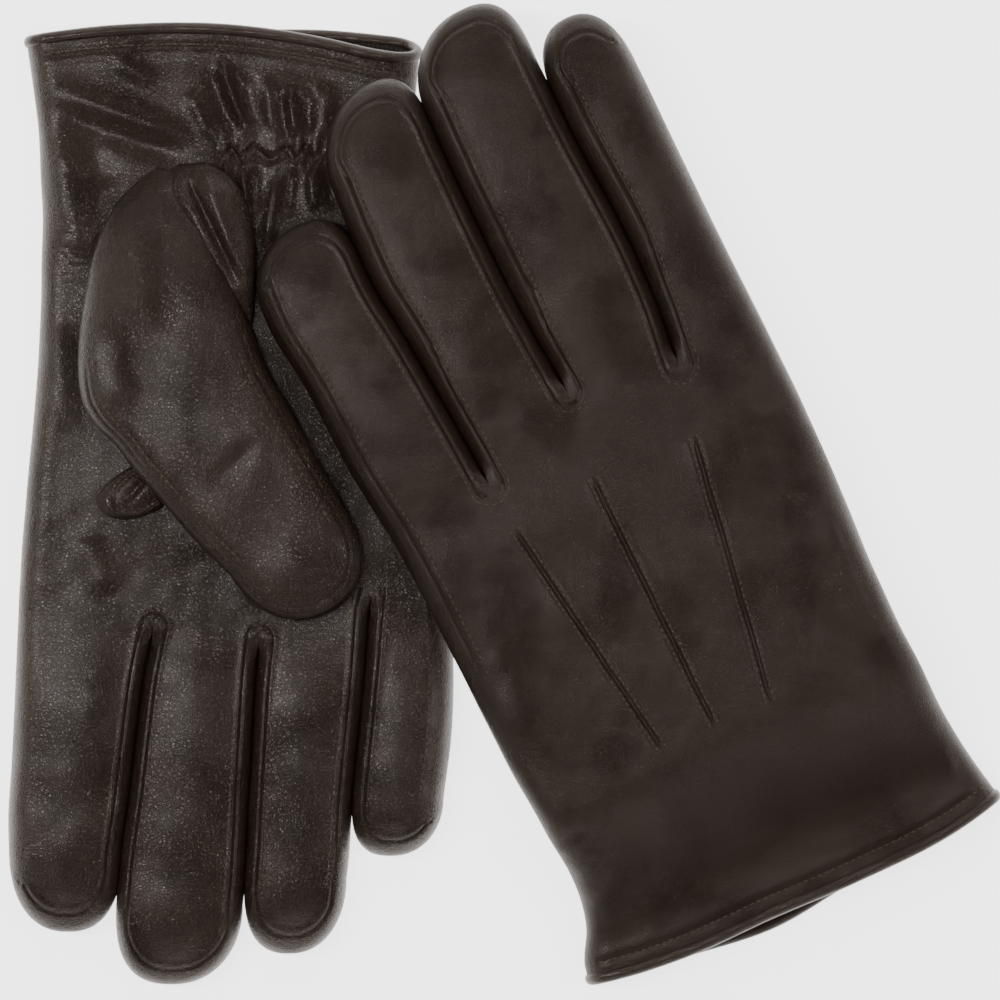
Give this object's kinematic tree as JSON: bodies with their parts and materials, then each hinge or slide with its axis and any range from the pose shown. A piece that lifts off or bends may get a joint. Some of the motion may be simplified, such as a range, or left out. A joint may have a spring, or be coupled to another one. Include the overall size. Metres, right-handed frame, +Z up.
{
  "type": "leather gloves",
  "caption": "Pair of lined dark brown leather dress gloves, one lying palm up and the other across it back up, with bending fingers and swinging thumbs.",
  "frame": {"origin": "middle of the pair's box, on the surface that it lies on", "axes": "+Z up from the table; the right glove's fingers point along -Y with the palm up"},
  "size_m": [0.2594, 0.2566, 0.0256],
  "materials": {
    "leather": "satin",
    "binding": "satin",
    "thread": "matt",
    "lining": "matt",
    "elastic": "matt"
  },
  "bodies": {
    "right_hand": {"right_hand_leather": "leather", "right_hand_lining": "lining", "right_wrist_elastic": "elastic", "right_cuff_binding": "binding", "right_cuff_stitching": "thread", "right_side_seam": "thread", "right_back_points": "leather", "right_point_stitching": "thread"},
    "right_index": {"right_index_leather": "leather", "right_index_fourchette": "leather", "right_index_stitching": "thread", "right_index_lining": "lining"},
    "right_middle": {"right_middle_leather": "leather", "right_middle_fourchettes": "leather", "right_middle_stitching": "thread", "right_middle_lining": "lining"},
    "right_ring": {"right_ring_leather": "leather", "right_ring_fourchettes": "leather", "right_ring_stitching": "thread", "right_ring_lining": "lining"},
    "right_little": {"right_little_leather": "leather", "right_little_fourchette": "leather", "right_little_stitching": "thread", "right_little_lining": "lining"},
    "right_thumb": {"right_thumb_leather": "leather", "right_thumb_quirk": "leather", "right_thumb_stitching": "thread", "right_thumb_lining": "lining"},
    "left_hand": {"left_hand_leather": "leather", "left_hand_lining": "lining", "left_wrist_elastic": "elastic", "left_cuff_binding": "binding", "left_cuff_stitching": "thread", "left_side_seam": "thread", "left_back_points": "leather", "left_point_stitching": "thread"},
    "left_index": {"left_index_leather": "leather", "left_index_fourchette": "leather", "left_index_stitching": "thread", "left_index_lining": "lining"},
    "left_middle": {"left_middle_leather": "leather", "left_middle_fourchettes": "leather", "left_middle_stitching": "thread", "left_middle_lining": "lining"},
    "left_ring": {"left_ring_leather": "leather", "left_ring_fourchettes": "leather", "left_ring_stitching": "thread", "left_ring_lining": "lining"},
    "left_little": {"left_little_leather": "leather", "left_little_fourchette": "leather", "left_little_stitching": "thread", "left_little_lining": "lining"},
    "left_thumb": {"left_thumb_leather": "leather", "left_thumb_quirk": "leather", "left_thumb_stitching": "thread", "left_thumb_lining": "lining"}
  },
  "joints": [
    {"name": "left_glove_lift", "type": "slide", "parent": "right_hand", "child": "left_hand", "axis": [0, 0, 1], "range_m": [0, 0.12]},
    {"name": "right_index_flex", "type": "hinge", "parent": "right_hand", "child": "right_index", "pos_m": [-0.11065, -0.04474, 0.012], "axis": [-0.9963, 0.0854, 0], "range_deg": [0, 70]},
    {"name": "right_middle_flex", "type": "hinge", "parent": "right_hand", "child": "right_middle", "pos_m": [-0.07881, -0.04474, 0.012], "axis": [-0.9959, 0.0906, 0], "range_deg": [0, 70]},
    {"name": "right_ring_flex", "type": "hinge", "parent": "right_hand", "child": "right_ring", "pos_m": [-0.05002, -0.04474, 0.012], "axis": [-0.9976, 0.0698, 0], "range_deg": [0, 70]},
    {"name": "right_little_flex", "type": "hinge", "parent": "right_hand", "child": "right_little", "pos_m": [-0.02484, -0.04474, 0.012], "axis": [-0.9968, 0.0802, 0], "range_deg": [0, 70]},
    {"name": "left_index_bend_back", "type": "hinge", "parent": "left_hand", "child": "left_index", "pos_m": [0.04445, 0.06923, 0.025], "axis": [0.898, 0.4399, 0], "range_deg": [0, 35]},
    {"name": "left_middle_bend_back", "type": "hinge", "parent": "left_hand", "child": "left_middle", "pos_m": [0.02033, 0.0572, 0.025], "axis": [0.9011, 0.4337, 0], "range_deg": [0, 35]},
    {"name": "left_ring_bend_back", "type": "hinge", "parent": "left_hand", "child": "left_ring", "pos_m": [-0.0073, 0.04342, 0.025], "axis": [0.8996, 0.4368, 0], "range_deg": [0, 35]},
    {"name": "left_little_bend_back", "type": "hinge", "parent": "left_hand", "child": "left_little", "pos_m": [-0.03482, 0.0297, 0.025], "axis": [0.8788, 0.4772, 0], "range_deg": [0, 35]},
    {"name": "right_thumb_open", "type": "hinge", "parent": "right_hand", "child": "right_thumb", "pos_m": [-0.10855, 0.05446, 0.0123], "axis": [-0.1788, -0.9839, 0], "range_deg": [0, 90]},
    {"name": "left_thumb_swing", "type": "hinge", "parent": "left_hand", "child": "left_thumb", "pos_m": [0.07436, -0.01978, 0.005], "axis": [0, 0, -1], "range_deg": [0, 80]}
  ]
}
